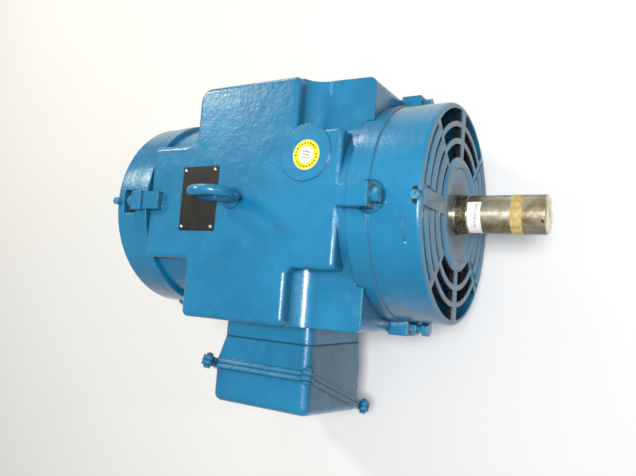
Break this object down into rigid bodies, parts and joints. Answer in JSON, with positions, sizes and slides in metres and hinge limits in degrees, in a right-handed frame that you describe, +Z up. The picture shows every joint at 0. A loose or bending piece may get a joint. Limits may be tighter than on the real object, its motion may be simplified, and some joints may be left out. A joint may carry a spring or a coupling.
{
  "type": "electric motor",
  "caption": "Foot-mounted open drip-proof electric motor with a cast body, louvred end bells, a keyed shaft extension, a lifting eye and a side conduit box.",
  "frame": {"origin": "centre of the foot-bolt rectangle on the base plane", "axes": "+X along the shaft to the drive end, +Z up, conduit box on the -Y side"},
  "size_m": [0.883, 0.6788, 0.5655],
  "materials": {
    "blue_paint": "gloss enamel over a casting",
    "painted_fastener": "overpainted",
    "dirty_steel": "greasy",
    "shaft_steel": "turned, tarnished",
    "plain_steel": "plain",
    "bearing_steel": "ground",
    "pressed_brass": "pressed",
    "laminations": "stacked sheets",
    "cast_aluminium": "cast",
    "varnished_copper": "varnished",
    "black_plate": "semi-gloss",
    "rivet_metal": "bright",
    "sticker": "printed",
    "gasket": "matt",
    "sheet_steel": "satin",
    "green_screw": "dyed",
    "lead_jacket": "matt"
  },
  "bodies": {
    "stator_assembly": {"bearing_preload_spring": "plain_steel", "box_mounting_screws": "plain_steel", "conduit_box_body": "blue_paint", "conduit_box_cover": "blue_paint", "cover_gasket": "gasket", "cover_nuts": "painted_fastener", "cover_screws": "painted_fastener", "drive_end_air_baffle": "sheet_steel", "drive_end_baffle_screws": "plain_steel", "drive_end_bearing_outer_race": "bearing_steel", "drive_end_bolt_washers": "painted_fastener", "drive_end_bracket": "blue_paint", "drive_end_bracket_bolts": "painted_fastener", "drive_end_cap_screws": "plain_steel", "drive_end_grease_plug": "dirty_steel", "drive_end_inner_cap": "blue_paint", "eye_bolt": "blue_paint", "frame_housing": "blue_paint", "ground_screw": "green_screw", "inspection_sticker": "sticker", "motor_leads": "lead_jacket", "nameplate": "black_plate", "nameplate_rivets": "rivet_metal", "neck_gasket": "gasket", "opposite_end_air_baffle": "sheet_steel", "opposite_end_baffle_screws": "plain_steel", "opposite_end_bearing_outer_race": "bearing_steel", "opposite_end_bolt_washers": "painted_fastener", "opposite_end_bracket": "blue_paint", "opposite_end_bracket_bolts": "painted_fastener", "opposite_end_cap_screws": "plain_steel", "opposite_end_grease_plug": "dirty_steel", "opposite_end_inner_cap": "blue_paint", "stator_core": "laminations", "stator_winding": "varnished_copper"},
    "rotor_assembly": {"shaft": "shaft_steel", "shaft_slinger": "plain_steel", "rotor_core": "laminations", "rotor_cage": "cast_aluminium", "drive_end_bearing_inner_race": "bearing_steel", "opposite_end_bearing_inner_race": "bearing_steel"},
    "drive_end_ball_set": {"drive_end_bearing_balls": "bearing_steel", "drive_end_bearing_cage": "pressed_brass"},
    "opposite_end_ball_set": {"opposite_end_bearing_balls": "bearing_steel", "opposite_end_bearing_cage": "pressed_brass"}
  },
  "joints": [
    {"name": "shaft_spin", "type": "hinge", "parent": "stator_assembly", "child": "rotor_assembly", "pos_m": [0, 0, 0.254], "axis": [1, 0, 0], "continuous": true},
    {"name": "drive_end_ball_orbit", "type": "hinge", "parent": "stator_assembly", "child": "drive_end_ball_set", "pos_m": [0.3325, 0, 0.254], "axis": [1, 0, 0], "continuous": true},
    {"name": "opposite_end_ball_orbit", "type": "hinge", "parent": "stator_assembly", "child": "opposite_end_ball_set", "pos_m": [-0.3055, 0, 0.254], "axis": [1, 0, 0], "continuous": true}
  ],
  "couplings": [
    {"joint": "drive_end_ball_orbit", "follows": "shaft_spin", "ratio": 0.3979},
    {"joint": "opposite_end_ball_orbit", "follows": "shaft_spin", "ratio": 0.3995}
  ]
}
